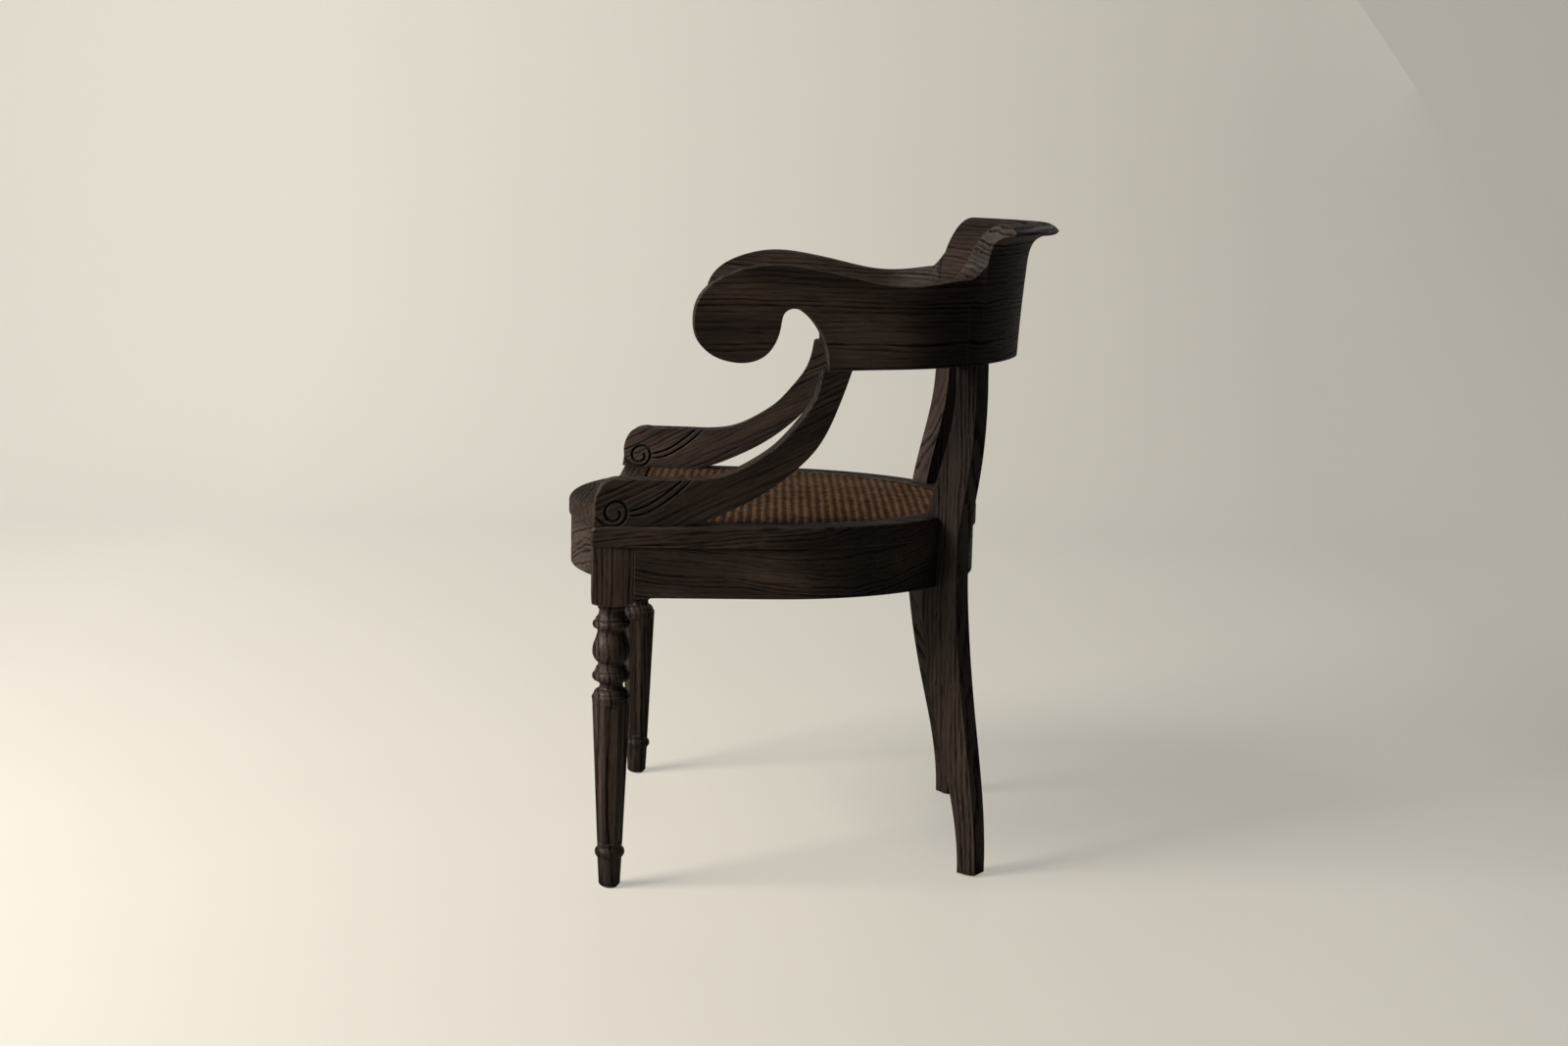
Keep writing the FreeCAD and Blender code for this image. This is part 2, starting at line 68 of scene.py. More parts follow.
def make_camera():
    level, shade_tone = math.cos(CAMERA_PITCH), math.sin(CAMERA_PITCH)
    ahead = Vector((-math.cos(CAMERA_YAW) * level, -math.sin(CAMERA_YAW) * level, -shade_tone))
    right = Vector((-math.sin(CAMERA_YAW), math.cos(CAMERA_YAW), 0))
    up = right.cross(ahead)
    x = right * math.cos(CAMERA_ROLL) + up * math.sin(CAMERA_ROLL)
    y = up * math.cos(CAMERA_ROLL) - right * math.sin(CAMERA_ROLL)
    data = bpy.data.cameras.new("camera")
    data.sensor_fit = "HORIZONTAL"
    data.sensor_width = SENSOR
    data.lens = SENSOR * FOCAL_PIXELS / PHOTO_WIDTH
    data.clip_end = 60
    cam = bpy.data.objects.new("camera", data)
    scene.collection.objects.link(cam)
    place = Matrix((x, y, -ahead)).transposed().to_4x4()
    place.translation = CAMERA_PLACE
    cam.matrix_world = place
    scene.camera = cam


make_camera()


class Tree:
    """One material's nodes: a value sets an input, and a socket is linked to it."""

    def __init__(self, name):
        self.mat = bpy.data.materials.new(name)
        self.mat.use_nodes = True
        self.t = self.mat.node_tree
        self.t.nodes.clear()

    def node(self, kind, values=None, **props):
        n = self.t.nodes.new(kind)
        for key, value in props.items():
            setattr(n, key, value)
        for key, value in (values or {}).items():
            if isinstance(value, bpy.types.NodeSocket):
                self.t.links.new(value, n.inputs[key])
            else:
                n.inputs[key].default_value = value
        return n

    def point(self):
        return self.node("ShaderNodeTexCoord").outputs["Object"]

    def split(self, vector):
        return self.node("ShaderNodeSeparateXYZ", {0: vector}).outputs

    def join(self, x, y, z=0.0):
        return self.node("ShaderNodeCombineXYZ", {0: x, 1: y, 2: z}).outputs[0]

    def math(self, op, a, b=0.0, c=0.0):
        return self.node("ShaderNodeMath", {0: a, 1: b, 2: c}, operation=op).outputs[0]

    def vec(self, op, a, b=(0, 0, 0)):
        n = self.node("ShaderNodeVectorMath", {0: a, 1: b}, operation=op)
        return n.outputs["Value"] if op in ("DOT_PRODUCT", "LENGTH") else n.outputs["Vector"]

    def noise(self, vector, scale, detail=2.0, rough=0.5):
        values = {"Vector": vector, "Scale": scale, "Detail": detail, "Roughness": rough}
        return self.node("ShaderNodeTexNoise", values).outputs["Fac"]

    def streaks(self, vector, along, across, detail=2.0, rough=0.5):
        """Noise with its own count of waves a metre along the fibres and across them."""
        return self.noise(self.vec("MULTIPLY", vector, (along, across, across)), 1.0, detail, rough)

    def chance(self, value):
        """One random number for each whole value."""
        n = self.node("ShaderNodeTexWhiteNoise", {"W": value}, noise_dimensions="1D")
        return n.outputs["Value"]

    def span(self, value, low, high, to_low=0.0, to_high=1.0, smooth=True):
        n = self.node(
            "ShaderNodeMapRange",
            {"Value": value, "From Min": low, "From Max": high, "To Min": to_low, "To Max": to_high},
            clamp=True,
            interpolation_type="SMOOTHSTEP" if smooth else "LINEAR",
        )
        return n.outputs[0]

    def ramp(self, value, stops, light=1.0):
        n = self.node("ShaderNodeValToRGB", {"Fac": value})
        elements = n.color_ramp.elements
        while len(elements) < len(stops):
            elements.new(0.5)
        for item, (place, (red, green, blue)) in zip(elements, stops):
            item.position = place
            item.color = (red * light, green * light, blue * light, 1)
        return n.outputs["Color"]

    def pick(self, chosen, first, second):
        n = self.node("ShaderNodeMix", {0: chosen, 2: first, 3: second}, data_type="FLOAT")
        return n.outputs[0]

    def mix(self, kind, factor, a, b):
        n = self.node("ShaderNodeMix", {0: factor, 6: a, 7: b}, data_type="RGBA", blend_type=kind)
        return n.outputs[2]

    def bevel(self, radius):
        return self.node("ShaderNodeBevel", {"Radius": radius}, samples=4).outputs[0]

    def bump(self, height, distance, strength, **more):
        values = {"Height": height, "Distance": distance, "Strength": strength, **more}
        return self.node("ShaderNodeBump", values).outputs[0]

    def finish(self, values):
        surface = self.node("ShaderNodeBsdfPrincipled", values)
        out = self.node("ShaderNodeOutputMaterial")
        self.t.links.new(surface.outputs[0], out.inputs["Surface"])
        return self.mat


# Grain coordinates: along the fibres, across the board, through the board
def straight(t, along, across):
    """A board whose fibres run along one direction."""
    along = Vector(along).normalized()
    third = along.cross(Vector(across)).normalized()
    across = third.cross(along)
    p = t.point()
    return t.join(*(t.vec("DOT_PRODUCT", p, tuple(v)) for v in (along, across, third)))


def bent(t, center, radius):
    """A board whose fibres follow a curve about an upright axis."""
    s = t.split(t.vec("SUBTRACT", t.point(), (*center, 0)))
    run = t.math("MULTIPLY", t.math("ARCTAN2", s[1], s[0]), radius)
    return t.join(run, s[2], t.vec("LENGTH", t.join(s[0], s[1])))


ARM_GRAIN_R = 0.138
CREST_GRAIN_R = 0.322


def bow(t):
    """The arms and the crest in one run, counted from the crest's middle."""
    s = t.split(t.point())
    p = t.join(t.math("ABSOLUTE", s[0]), s[1])
    q = t.vec("SUBTRACT", p, (*BEND, 0))
    a = t.split(q)
    turn = t.math("SUBTRACT", t.math("ARCTAN2", a[1], a[0]), TOE)
    on_bend = t.math("GREATER_THAN", turn, 0.0)
    bend_run = t.math("MULTIPLY", turn, ARM_GRAIN_R)
    run = t.pick(on_bend, t.vec("DOT_PRODUCT", q, tuple(BACKWARD)), bend_run)
    deep = t.pick(on_bend, t.vec("DOT_PRODUCT", q, tuple(OUTWARD)), t.vec("LENGTH", q))
    r = t.vec("SUBTRACT", p, (0, BOW_Y, 0))
    b = t.split(r)
    past = t.math("SUBTRACT", t.math("ARCTAN2", b[1], b[0]), CREST_TURN)
    on_crest = t.math("GREATER_THAN", past, 0.0)
    bend_length = ARM_GRAIN_R * (CREST_TURN - TOE)
    run = t.pick(on_crest, run, t.math("MULTIPLY_ADD", past, CREST_GRAIN_R, bend_length))
    crest_deep = t.math("SUBTRACT", t.vec("LENGTH", r), CREST_GRAIN_R - ARM_GRAIN_R)
    deep = t.pick(on_crest, deep, crest_deep)
    half = bend_length + CREST_GRAIN_R * (math.pi / 2 - CREST_TURN)
    run = t.math("MULTIPLY", t.math("SUBTRACT", half, run), t.math("SIGN", s[0]))
    return t.join(run, s[2], deep)


def board(along, across=(0, 0, 1)):
    return lambda t: straight(t, along, across)


def curved(center_y, radius):
    return lambda t: bent(t, (0, center_y), radius)


def lean(angle):
    """Direction that rises toward the back along the arm by an angle."""
    a = math.radians(angle)
    return tuple(BACKWARD * math.cos(a) + Vector((0, 0, math.sin(a))))


def flip(v):
    return (-v[0], v[1], v[2])


# Dark-stained open-grain oak
SEED_STEP = (0.731, 0.417, 0.253)
FINE_RING = 0.0050
WIDE_RING = 0.0066
STAIN = [(0.34, (0.0150, 0.0090, 0.0064)), (0.50, (0.0410, 0.0266, 0.0196))]
STAIN += [(0.67, (0.0920, 0.0625, 0.0465))]
LINE_COLOUR = (0.0050, 0.0022, 0.0014, 1)
PORE_COLOUR = (0.0022, 0.0013, 0.0010, 1)
# Pale colour of the painted highlight on the edges
EDGE_HIGHLIGHT_COLOUR = (0.110, 0.092, 0.078, 1)
# Painted shade in nooks: how far the colour darkens where other surfaces lie close
NOOK_PAINTED_SHADE = [(0.35, (0.16, 0.14, 0.13)), (0.9, (1, 1, 1))]


def growth(t, g, tilt, ring):
    """Strength of the open early wood, in rings about a core that lies beside the board."""
    core_away, flatten = 0.11, 0.75
    sway = t.streaks(g, 3, 11)
    ripple = t.streaks(g, 13, 70, 2.0, 0.6)
    s = t.split(g)
    flat = t.join(t.math("ADD", s[1], core_away), t.math("MULTIPLY", s[2], flatten))
    radius = t.math("MULTIPLY_ADD", s[0], tilt, t.vec("LENGTH", flat))
    radius = t.math("MULTIPLY_ADD", sway, 0.034, radius)
    radius = t.math("MULTIPLY_ADD", ripple, 0.0075, radius)
    place = t.math("DIVIDE", radius, ring)
    year = t.math("FRACT", place)
    strength = t.math("MULTIPLY_ADD", t.chance(t.math("FLOOR", place)), 0.9, 0.1)
    early = t.math("MULTIPLY", t.span(year, 0.0, 0.12), t.span(year, 0.26, 0.68, 1.0, 0.0))
    return t.math("MULTIPLY", early, strength)


def painted_edge_highlight(t, coarse):
    """Share of painted highlight, highest on the edges and broken along the grain."""
    true_normal = t.node("ShaderNodeNewGeometry").outputs["True Normal"]
    edge = t.span(t.vec("DOT_PRODUCT", t.bevel(0.0030), true_normal), 0.985, 0.80)
    return t.math("MULTIPLY", edge, t.span(coarse, 0.30, 0.62, 0.20, 0.75))


def oak(name, coords, seed=0.0, tilt=0.03, ring=0.0080, light=1.0):
    """Oak with broken growth lines, long pores, satin sheen, painted shade in nooks and painted highlights
    on edges.
    """
    t = Tree(name)
    g = t.vec("ADD", coords(t), tuple(seed * step for step in SEED_STEP))
    early = growth(t, g, tilt, ring)
    streak = t.streaks(g, 34, 1150, 2.0, 0.55)
    coarse = t.streaks(g, 14, 330, 3.0, 0.62)
    broken = t.streaks(g, 19, 210, 2.0, 0.6)
    cloud = t.streaks(g, 5, 22)
    lines = t.math("MULTIPLY", early, t.span(broken, 0.38, 0.56, 0.06, 1.0))
    lines = t.math("MAXIMUM", lines, t.math("MULTIPLY", t.span(coarse, 0.56, 0.68), 0.75))
    pores = t.span(t.math("MULTIPLY_ADD", early, 0.20, streak), 0.62, 0.74)
    tone = t.math("MULTIPLY_ADD", streak, 0.45, t.math("MULTIPLY", cloud, 0.55))
    body = t.ramp(tone, STAIN, light)
    body = t.mix("MIX", t.math("MULTIPLY", lines, 0.88), body, LINE_COLOUR)
    body = t.mix("MIX", t.math("MULTIPLY", pores, 0.6), body, PORE_COLOUR)
    pores = t.math("MAXIMUM", pores, t.math("MULTIPLY", lines, 0.7))
    # Painted shade: the colour darkens where other surfaces lie near, in joints, nooks and grooves
    nook_shade = t.node("ShaderNodeAmbientOcclusion", {"Distance": 0.012}, samples=6).outputs["AO"]
    body = t.mix("MULTIPLY", 1.0, body, t.ramp(nook_shade, NOOK_PAINTED_SHADE))
    edge_highlight = painted_edge_highlight(t, coarse)
    # Painted highlight: the edges are lightened toward a pale grey-brown
    body = t.mix("MIX", edge_highlight, body, EDGE_HIGHLIGHT_COLOUR)
    rough = t.math("MULTIPLY_ADD", pores, 0.25, t.span(tone, 0.3, 0.7, 0.50, 0.42))
    rough = t.math("MULTIPLY_ADD", edge_highlight, -0.06, rough)
    height = t.math("MULTIPLY_ADD", pores, -1.0, t.math("MULTIPLY", early, -0.35))
    height = t.math("MULTIPLY_ADD", streak, 0.35, height)
    return t.finish(
        {
            "Base Color": body,
            "Roughness": rough,
            "Normal": t.bump(height, 0.00036, 0.9, Normal=t.bevel(0.0020)),
            "Specular IOR Level": t.math("MULTIPLY_ADD", pores, -0.22, 0.26),
            "Coat Weight": 0.02,
            "Coat Roughness": 0.30,
        }
    )


# Fibre direction, seed and tilt of the rings for each piece of oak
BACK_LEG = (math.cos(REAR_TURN), math.sin(REAR_TURN), 0)
SUPPORT_GRAIN = lean(27)
grain = {
    "arm_left": (bow, 1.0, 0.02),
    "arm_right": (bow, 1.0, 0.02),
    "crest_rail": (bow, 1.0, 0.02),
    "arm_support_left": (board(SUPPORT_GRAIN), 4.0, 0.04),
    "arm_support_right": (board(flip(SUPPORT_GRAIN)), 5.0, 0.04),
    "front_leg_left": (board((0, 0, 1), (0, 1, 0)), 6.0, 0.03),
    "front_leg_right": (board((0, 0, 1), (0, 1, 0)), 7.0, 0.03),
    "rear_leg_left": (board((0.03, 0.02, 1), BACK_LEG), 8.0, 0.06),
    "rear_leg_right": (board((-0.03, 0.02, 1), flip(BACK_LEG)), 9.0, 0.06),
    "front_rail": (board((1, 0, 0.25)), 10.0, 0.05),
    "back_rail": (curved(BOW_Y, 0.277), 11.0, 0.03),
    "side_rail_left": (board((-0.10, 1, -0.05)), 12.0, 0.02),
    "side_rail_right": (board((0.10, 1, -0.05)), 13.0, 0.02),
    "seat_frame_front": (board((1, 0, 0.1), (0, 1, 0)), 14.0, 0.04),
    "seat_frame_back": (curved(BOW_Y, 0.268), 15.0, 0.03),
    "seat_frame_left": (board((-0.10, 1, 0.16)), 16.0, 0.05),
    "seat_frame_right": (board((0.10, 1, 0.16)), 17.0, 0.05),
}


def paint(node, mat):
    for slot in nodes[node].material_slots:
        slot.material = mat


oaks = {}
for node, (coords, seed, tilt) in grain.items():
    ring = FINE_RING if "side_rail" in node or "frame" in node else WIDE_RING
    oaks[node] = oak("oak_" + node, coords, seed, tilt, ring)
    paint(node, oaks[node])


def plain_wood():
    """Unfinished beech of the hidden blocks and dowels."""
    t = Tree("plain_beech")
    g = straight(t, (1, 0.2, 0), (0, 0, 1))
    fleck = t.streaks(g, 60, 700, 3.0, 0.6)
    cloud = t.streaks(g, 9, 40)
    body = t.ramp(fleck, [(0.3, (0.21, 0.125, 0.068)), (0.7, (0.36, 0.235, 0.14))])
    body = t.mix("MULTIPLY", 0.5, body, t.ramp(cloud, [(0.2, (0.7, 0.66, 0.62)), (0.8, (1, 1, 1))]))
    rough = t.span(fleck, 0.2, 0.8, 0.5, 0.65)
    return t.finish({"Base Color": body, "Roughness": rough, "Normal": t.bump(fleck, 0.0002, 0.5)})


def speckled(name, scale, dark, pale, smooth, rough, metallic=0.0):
    """Fine-grained finish between two tones, for metal and plastic."""
    t = Tree(name)
    n = t.noise(t.point(), scale, 3.0, 0.6)
    return t.finish(
        {
            "Base Color": t.ramp(n, [(0.3, dark), (0.7, pale)]),
            "Metallic": metallic,
            "Roughness": t.span(n, 0.2, 0.8, smooth, rough),
            "Normal": t.bump(n, 0.0001, 0.3),
        }
    )


beech = plain_wood()
for node in nodes:
    if node.startswith("corner_block") or "dowels" in node:
        paint(node, beech)
steel = speckled("zinc_steel", 900, (0.36, 0.36, 0.35), (0.55, 0.55, 0.53), 0.3, 0.48, 1.0)
plastic = speckled("glide_plastic", 350, (0.50, 0.48, 0.44), (0.66, 0.64, 0.60), 0.45, 0.6)
paint("corner_block_screws", steel)
paint("foot_glides", plastic)

# Woven cane
PITCH = 0.011
STRAND = 0.0030
SPLIT_LENGTH = 0.012
CANE_Y = -0.048
CANE_MID = 0.4624
CANE_HALF = 0.234
CANE_RISE = 0.006
CANE_TONES = [(0.30, (0.050, 0.025, 0.0125)), (0.5, (0.100, 0.053, 0.028)), (0.7, (0.190, 0.112, 0.064))]
# Painted shade: how dark the cane gets for each tone, from the hollows up to the tops of the strands
CANE_HOLLOW_SHADE = [(0.0, (0.42, 0.38, 0.34)), (0.55, (0.86, 0.83, 0.80)), (1.0, (1.05, 1.05, 1.05))]


def cane_skin(name, light=1.0):
    """Cane that differs from strand to strand, with fibres along it and painted shade in the hollows."""
    t = Tree(name)
    p = t.point()
    s = t.split(p)
    strand = t.chance(t.math("FLOOR", t.math("DIVIDE", s[0], STRAND)))
    fibre = t.streaks(p, 2600, 120, 2.0, 0.6)
    cloud = t.streaks(p, 14, 14, 3.0, 0.6)
    hollow_shade = t.node("ShaderNodeAttribute", attribute_name="shade_tone").outputs["Fac"]
    column = t.math("FLOOR", t.math("DIVIDE", s[0], SPLIT_LENGTH))
    row = t.math("FLOOR", t.math("DIVIDE", s[1], PITCH / 2))
    cell = {"Vector": t.join(column, row)}
    patch = t.node("ShaderNodeTexWhiteNoise", cell, noise_dimensions="3D").outputs["Value"]
    mixed = t.math("MULTIPLY_ADD", strand, 0.22, t.math("MULTIPLY", fibre, 0.28))
    mixed = t.math("MULTIPLY_ADD", patch, 0.22, mixed)
    mixed = t.math("MULTIPLY_ADD", cloud, 0.28, mixed)
    # Painted shade: darker where the strands dip under, at their sides and ends, and on the ribs below
    body = t.mix("MULTIPLY", 1.0, t.ramp(mixed, CANE_TONES, light), t.ramp(hollow_shade, CANE_HOLLOW_SHADE))
    return t.finish(
        {
            "Base Color": body,
            "Roughness": t.span(cloud, 0.2, 0.8, 0.55, 0.68),
            "Normal": t.bump(fibre, 0.00015, 0.5),
            "Specular IOR Level": 0.25,
        }
    )


def turned(center, radius, angles):
    """Points on a circle at the given angles."""
    return [(center[0] + radius * math.cos(a), center[1] + radius * math.sin(a)) for a in angles]


def seat_outline(inset):
    """Plan outline of the seat, a distance inside the rails' outer faces."""
    back = turned((0, BOW_Y), APRON_R - inset, np.linspace(FLARE, math.pi - FLARE, 96))
    tangent = Vector(back[0])
    run = (tangent.y - LEG_Y - inset) / math.cos(FLARE)
    tip = tangent + Vector((math.sin(FLARE), -math.cos(FLARE))) * run
    reach = FRONT_R + BLEND
    fall = FRONT_Y - LEG_Y + BLEND
    hollow_center = (math.sqrt(reach**2 - fall**2), LEG_Y - BLEND)
    start = math.atan2(hollow_center[1] - FRONT_Y, hollow_center[0])
    half = [(tip.x, tip.y)]
    half += turned(hollow_center, BLEND + inset, np.linspace(math.pi / 2, math.pi + start, 14))
    half += turned((0, FRONT_Y), FRONT_R - inset, np.linspace(start, -math.pi / 2, 26)[1:])
    left = [(-x, y) for x, y in half]
    return np.array(back + left + half[::-1][1:])


def crossing(outline, axis, value):
    """Lowest and highest place where a line at a fixed coordinate meets the outline."""
    other = 1 - axis
    value += 1e-6
    a, b = outline, np.roll(outline, -1, axis=0)
    hit = (a[:, axis] - value) * (b[:, axis] - value) < 0
    if not hit.any():
        return None
    share = (value - a[hit, axis]) / (b[hit, axis] - a[hit, axis])
    found = a[hit, other] + share * (b[hit, other] - a[hit, other])
    return found.min(), found.max()


def crown(x, y):
    """Height of the panel's middle surface over its edge, on a sphere."""
    radius = (CANE_HALF**2 + CANE_RISE**2) / (2 * CANE_RISE)
    away = np.minimum(x**2 + (y - CANE_Y) ** 2, CANE_HALF**2)
    return np.sqrt(radius**2 - away) - (radius - CANE_RISE)


def mesh_object(name, verts, faces, mat, shade_tone=None):
    mesh = bpy.data.meshes.new(name)
    mesh.from_pydata([tuple(v) for v in verts], [], [tuple(f) for f in faces])
    mesh.validate()
    mesh.polygons.foreach_set("use_smooth", [True] * len(mesh.polygons))
    if shade_tone is not None:
        mesh.attributes.new("shade_tone", "FLOAT", "POINT").data.foreach_set("value", np.array(shade_tone, np.float32))
    mesh.materials.append(mat)
    mesh.update()
    ob = bpy.data.objects.new(name, mesh)
    scene.collection.objects.link(ob)
    return ob


def by_quarter(kind, on_rib, in_hollow, between):
    """A value for the quarters of the pitch: on a rib, in the hollow, or between the two."""
    return np.where(kind == 0, on_rib, np.where(kind == 2, in_hollow, between))


def weave(mat):
    """Strands that run front to back, over thick ribs and over or under thin ties between them."""
    outline = seat_outline(0.0362)
    rng = np.random.default_rng(4)
    verts, faces, shade_tone = [], [], []
    edge_drop, shoulder_drop, top_rise = -0.0016, 0.00055, 0.0002
    count = int(0.27 / STRAND)
    for i in range(-count, count + 1):
        x = i * STRAND
        ends = crossing(outline, 0, x)
        if ends is None:
            continue
        first = math.ceil((ends[0] - CANE_Y) / (PITCH / 4))
        last = math.floor((ends[1] - CANE_Y) / (PITCH / 4))
        steps = list(range(first, last + 1))
        ys = np.array([ends[0]] + [CANE_Y + k * PITCH / 4 for k in steps] + [ends[1]])
        quarter = np.array([first - 1] + steps + [last + 1])
        kind = quarter % 4
        under = ((np.floor_divide(quarter, 4) + i) % 2) == 0
        z = by_quarter(kind, 0.0010, np.where(under, -0.0017, -0.0005), -0.0001)
        # Painted shade tone: lightest on a rib, darker toward a hollow, darkest where a strand goes under
        # and at its ends
        tone = by_quarter(kind, 1.0, np.where(under, 0.25, 0.55), 0.78)
        z[0] = z[-1] = edge_drop
        tone[0] = tone[-1] = 0.05
        z = z + rng.normal(0, 0.00009, len(z)) + CANE_MID + crown(x, ys)
        middle = x + rng.normal(0, 0.00010)
        half_width = STRAND / 2 * by_quarter(kind, 0.97, 0.80, 0.90)
        base = len(verts)
        for y, h, w, r in zip(ys, z, half_width, tone):
            low = h - shoulder_drop
            verts += [(middle - w, y, low), (middle, y, h + top_rise), (middle + w, y, low)]
            shade_tone += [r * 0.72, r, r * 0.72]
        end = base + 3 * len(ys) - 3
        for a in range(base, end, 3):
            b = a + 3
            faces += [(a, a + 1, b + 1, b), (a + 1, a + 2, b + 2, b + 1), (a + 2, a, b, b + 2)]
        faces += [(base, base + 2, base + 1), (end, end + 1, end + 2)]
    ob = mesh_object("cane_weave", verts, faces, mat, shade_tone)
    for p in ob.data.polygons:
        if p.normal.z < -0.3:
            p.use_smooth = False
    return ob


# Half width, half height, drop, sides, painted shade tone and place in the pitch
RIB = (0.0022, 0.0011, -0.00035, 6, 0.25, 0.0)
TIE = (0.0009, 0.00025, -0.0014, 4, 0.45, 0.5)


def rods(mat):
    """Round ribs under the strands and flat ties in the hollows between the ribs."""
    outline = seat_outline(0.0365)
    verts, faces, shade_tone = [], [], []
    for j in range(-22, 23):
        for half_width, half_high, drop, sides, tone, step in (RIB, TIE):
            y = CANE_Y + (j + step) * PITCH
            ends = crossing(outline, 1, y)
            if ends is None:
                continue
            xs = np.linspace(ends[0], ends[1], 25)
            z = CANE_MID + drop + crown(xs, y)
            base = len(verts)
            for x, h in zip(xs, z):
                for k in range(sides):
                    a = 2 * math.pi * (k + 0.5) / sides
                    verts.append((x, y + half_width * math.cos(a), h + half_high * math.sin(a)))
                    shade_tone.append(tone)
            end = len(verts) - sides
            for a in range(base, end, sides):
                b = a + sides
                for k in range(sides):
                    n = (k + 1) % sides
                    faces.append((a + k, a + n, b + n, b + k))
            faces.append(tuple(range(base, base + sides))[::-1])
            faces.append(tuple(range(end, end + sides)))
    return mesh_object("cane_ribs", verts, faces, mat, shade_tone)


woven = weave(cane_skin("cane_strand"))
ribs = rods(cane_skin("cane_rib", 0.75))
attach(woven, "root")
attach(ribs, "root")
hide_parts("seat_cane")
paint("cane_spline", oak("oak_spline", curved(CANE_Y, 0.25), 21.0, 0.02, light=1.3))

# Carved volute and bead grooves on both faces of the arm supports, in millimetres backward and upward
VOLUTE = (27.6, 479.7)
TURN = [(188, 26), (228, 19), (257, 16.4), (288, 15), (325, 13.7), (358, 13.7), (388, 14.5)]
TURN += [(413, 15.2), (439, 14.7), (469, 13.9), (500, 13.5), (527, 13.3), (558, 12.6), (590, 11.2)]
TURN += [(618, 9.6), (640, 8.4), (668, 7.2), (700, 6.1), (735, 5.2), (770, 4.4)]
SPIRAL = [turned(VOLUTE, radius, [math.radians(angle)])[0] for angle, radius in TURN]
UPPER_BEAD = [(42.4, 482.2), (52.7, 484.7), (67.2, 490.2), (81.9, 499.5), (96.5, 510.7), (111.5, 523.5)]
LOWER_BEAD = [(43.2, 476.6), (58.2, 478.2), (71.9, 483.8), (85.6, 492.2), (99.3, 502.3), (123, 523.5)]
SPIRAL_WIDTH = 4.2
BEAD_WIDTH = 3.5
CUT_DEPTH = 2.9
CUT_SECTION = [(-0.62, -0.8), (-0.5, 0.0), (-0.22, 0.82), (0.0, 1.0), (0.22, 0.82), (0.5, 0.0), (0.62, -0.8)]
FADE_START = 0.35
FADE_STEP = 0.22


def smooth_path(points, steps=6):
    """Smooth line through points, with a number of steps between each two."""
    p = np.array(points, float)
    p = np.vstack([2 * p[0] - p[1], p, 2 * p[-1] - p[-2]])
    out = []
    for a, b, c, d in zip(p, p[1:], p[2:], p[3:]):
        for f in np.linspace(0, 1, steps, endpoint=False):
            square = (2 * a - 5 * b + 4 * c - d) * f**2
            cube = (3 * b - a - 3 * c + d) * f**3
            out.append(0.5 * (2 * b + (c - a) * f + square + cube))
    out.append(p[-2])
    return np.array(out)


def groove(bm, points, inner, width, side):
    """Adds a swept cutter that follows a path on the outer or inner face."""
    face = CORNER + (-OUTWARD * SUPPORT_THICK if inner else Vector())
    into = OUTWARD * (1 if inner else -1)
    path = smooth_path(points)
    tangents = np.gradient(path, axis=0)
    tangents /= np.linalg.norm(tangents, axis=1)[:, None]
    rings = []
    for n, (place, tangent) in enumerate(zip(path, tangents)):
        normal = np.array((-tangent[1], tangent[0]))
        fade = min(1.0, FADE_START + n * FADE_STEP, FADE_START + (len(path) - 1 - n) * FADE_STEP)
        ring = []
        for a, b in CUT_SECTION:
            back, high = place + normal * a * width * fade
            deep = b * CUT_DEPTH * (fade if b > 0 else 1)
            p = face + BACKWARD * (back / 1000) + Vector((0, 0, high / 1000)) + into * (deep / 1000)
            ring.append(bm.verts.new((p.x * side, p.y, p.z)))
        rings.append(ring)
    for a, b in zip(rings, rings[1:]):
        for k in range(len(CUT_SECTION)):
            m = (k + 1) % len(CUT_SECTION)
            bm.faces.new((a[k], a[m], b[m], b[k]))
    bm.faces.new(rings[0])
    bm.faces.new(rings[-1][::-1])


# Painted shade: the faces of the grooves take a copy of the oak at a fifth of its brightness
groove_shade_wood = oak("oak_groove_shade", board(SUPPORT_GRAIN), 4.0, 0.04, light=0.2)


def cutter(points, inner, side):
    bm = bmesh.new()
    groove(bm, points, inner, SPIRAL_WIDTH if points is SPIRAL else BEAD_WIDTH, side)
    bmesh.ops.recalc_face_normals(bm, faces=bm.faces)
    mesh = bpy.data.meshes.new("cut")
    bm.to_mesh(mesh)
    bm.free()
    mesh.materials.append(groove_shade_wood)
    ob = bpy.data.objects.new("cut", mesh)
    scene.collection.objects.link(ob)
    return ob


def support_copy(node):
    """The CAD support's mesh in a new object, welded and with plain normals, so that it can be cut."""
    mesh = nodes[node].data.copy()
    if "custom_normal" in mesh.attributes:
        mesh.attributes.remove(mesh.attributes["custom_normal"])
    bm = bmesh.new()
    bm.from_mesh(mesh)
    bmesh.ops.remove_doubles(bm, verts=bm.verts, dist=2e-6)
    bm.to_mesh(mesh)
    bm.free()
    ob = bpy.data.objects.new("carved_" + node, mesh)
    scene.collection.objects.link(ob)
    return ob


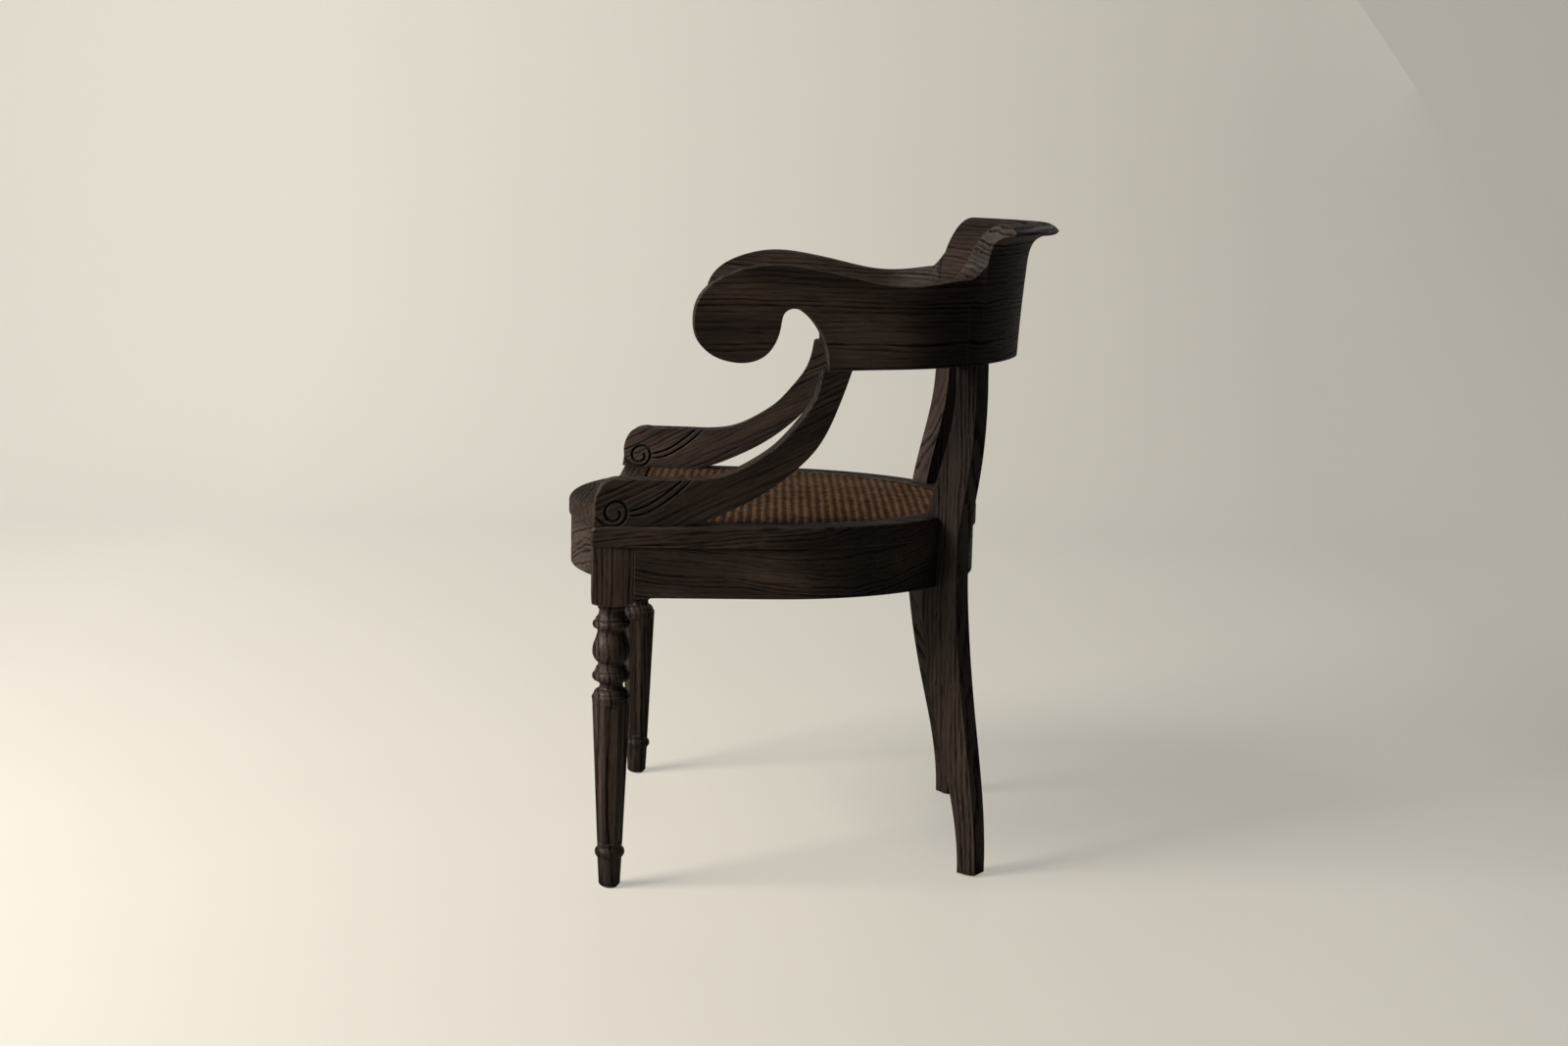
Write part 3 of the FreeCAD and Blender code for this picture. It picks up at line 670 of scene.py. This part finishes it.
def carved_support(node, side):
    ob = support_copy(node)
    cutters = []
    for inner in (False, True):
        for points in (SPIRAL, UPPER_BEAD, LOWER_BEAD):
            cutters.append(cutter(points, inner, side))
            cut = ob.modifiers.new("cut", "BOOLEAN")
            cut.operation = "DIFFERENCE"
            cut.solver = "EXACT"
            cut.material_mode = "TRANSFER"
            cut.object = cutters[-1]
    bpy.context.view_layer.update()
    graph = bpy.context.evaluated_depsgraph_get()
    done = bpy.data.meshes.new_from_object(ob.evaluated_get(graph))
    ob.modifiers.clear()
    ob.data = done
    for used in cutters:
        bpy.data.objects.remove(used)
    done.polygons.foreach_set("use_smooth", [True] * len(done.polygons))
    done.set_sharp_from_angle(angle=math.radians(38))
    for k, mat in enumerate(done.materials):
        done.materials[k] = groove_shade_wood if mat is groove_shade_wood else oaks[node]
    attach(ob, "root")
    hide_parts(node)


carved_support("arm_support_left", 1)
carved_support("arm_support_right", -1)

# Plain pale floor that sweeps up into a wall behind the chair
FLOOR_TONES = [(0.2, (0.485, 0.460, 0.409)), (0.9, (0.520, 0.493, 0.440))]
FLOOR_NEAR = 6.0
FLOOR_HALF = 7.0
WALL_FOOT = -2.6
SWEEP = 0.9
WALL_TOP = 5.0
GLOW_COLOUR = (1.0, 0.95, 0.845, 1)


def studio_paint():
    """Matt paint with a glow, seen by the camera only, that falls off toward the back of the chair."""
    t = Tree("studio_floor")
    p = t.point()
    n = t.noise(p, 1.6, 3.0, 0.55)
    fine = t.noise(p, 14, 3.0, 0.6)
    s = t.split(p)
    seen = t.node("ShaderNodeLightPath").outputs["Is Camera Ray"]
    glow = t.math("MULTIPLY", seen, t.span(s[1], -1.4, 1.4, 0.58, 0.31, False))
    glow = t.math("MULTIPLY", glow, t.span(s[0], -2.4, 0.8, 1.0, 0.88))
    wall_rough = t.span(s[0], -2.4, -1.2, 0.4, 0.0)
    return t.finish(
        {
            "Base Color": t.ramp(t.math("MULTIPLY_ADD", fine, 0.15, n), FLOOR_TONES),
            "Roughness": t.math("ADD", t.span(n, 0.2, 0.8, 0.32, 0.38), wall_rough),
            "Specular IOR Level": 0.18,
            "Emission Color": GLOW_COLOUR,
            "Emission Strength": glow,
        }
    )


def studio():
    profile = [(FLOOR_NEAR, 0.0), (WALL_FOOT, 0.0)]
    turn = np.radians(np.linspace(0, 90, 13)[1:])
    profile += [(WALL_FOOT - SWEEP * math.sin(a), SWEEP - SWEEP * math.cos(a)) for a in turn]
    profile.append((WALL_FOOT - SWEEP, WALL_TOP))
    verts = [(x, y, z) for x, z in profile for y in (-FLOOR_HALF, FLOOR_HALF)]
    faces = [(2 * k, 2 * k + 1, 2 * k + 3, 2 * k + 2) for k in range(len(profile) - 1)]
    mesh_object("floor", verts, faces, studio_paint())


def lamp(name, where, aim, size, power, colour):
    data = bpy.data.lights.new(name, "AREA")
    data.shape = "RECTANGLE"
    data.size = size
    data.size_y = size
    data.energy = power
    data.color = colour
    ob = bpy.data.objects.new(name, data)
    scene.collection.objects.link(ob)
    ob.location = where
    ob.rotation_euler = (Vector(aim) - Vector(where)).to_track_quat("-Z", "Y").to_euler()


def room_light():
    """Faint light from all round, with a bright background for the camera only."""
    world = bpy.data.worlds.new("world")
    world.use_nodes = True
    tree = world.node_tree
    background = tree.nodes["Background"]
    seen = tree.nodes.new("ShaderNodeLightPath").outputs["Is Camera Ray"]
    level = tree.nodes.new("ShaderNodeMath")
    level.operation = "MULTIPLY_ADD"
    level.inputs[1].default_value = 0.55
    level.inputs[2].default_value = 0.015
    tree.links.new(seen, level.inputs[0])
    tree.links.new(level.outputs[0], background.inputs[1])
    background.inputs[0].default_value = (1.0, 0.97, 0.91, 1)
    scene.world = world


studio()
lamp("key", (1.12, -2.58, 1.9), (0, -0.1, 0.5), 1.5, 106, (1.0, 0.96, 0.90))
lamp("top", (0.9, -1.6, 3.6), (0, 0, 0), 2.4, 10, (1.0, 0.98, 0.95))
lamp("back", (-2.9, 2.0, 2.0), (0, 0, 0.5), 1.8, 8, (1.0, 0.97, 0.93))
room_light()
scene.view_settings.view_transform = "Standard"
